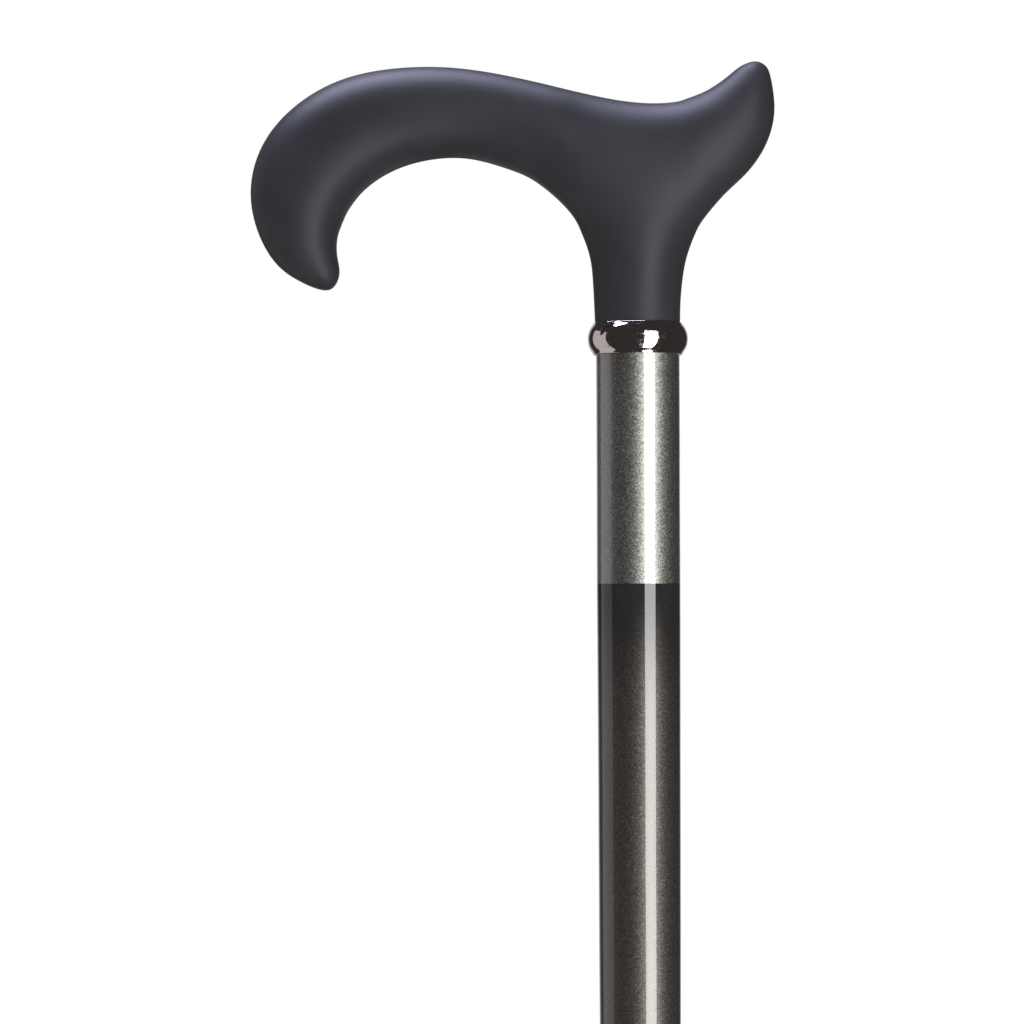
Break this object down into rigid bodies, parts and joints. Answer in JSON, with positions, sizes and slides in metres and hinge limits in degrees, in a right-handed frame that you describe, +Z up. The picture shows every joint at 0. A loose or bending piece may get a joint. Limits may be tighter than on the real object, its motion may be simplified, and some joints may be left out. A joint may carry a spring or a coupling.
{
  "type": "single point cane",
  "caption": "Walking stick with a soft-skinned derby handle, a bulged metal collar, a tapered lacquered wooden shaft and a push-on rubber ferrule.",
  "frame": {"origin": "centre of the ferrule's foot, where the stick meets the ground", "axes": "+Z up the shaft to the handle, +X to the raised heel of the handle and -X to its hooked nose, +Y across the handle"},
  "size_m": [0.1258, 0.034, 0.9212],
  "materials": {
    "grip_skin": "matte soft-touch overmould",
    "grip_core": "moulded, glass-filled",
    "insert_brass": "turned",
    "bright_steel": "zinc plated",
    "collar_plate": "polished black-nickel plate",
    "shaft_lacquer": "metallic lacquer under gloss clear coat: silver band at the top, black below, fading to brown-grey flake",
    "foot_rubber": "moulded, slightly dusty"
  },
  "bodies": {
    "foot": {"ferrule": "foot_rubber", "ferrule_washer": "bright_steel"},
    "stick": {"shaft": "shaft_lacquer", "joining_stud": "bright_steel", "collar_ring": "collar_plate", "handle_insert": "insert_brass", "handle_core": "grip_core", "handle_skin": "grip_skin"}
  },
  "joints": [
    {"name": "ferrule_pull", "type": "slide", "parent": "foot", "child": "stick", "axis": [0, 0, 1], "range_m": [0, 0.034]}
  ]
}
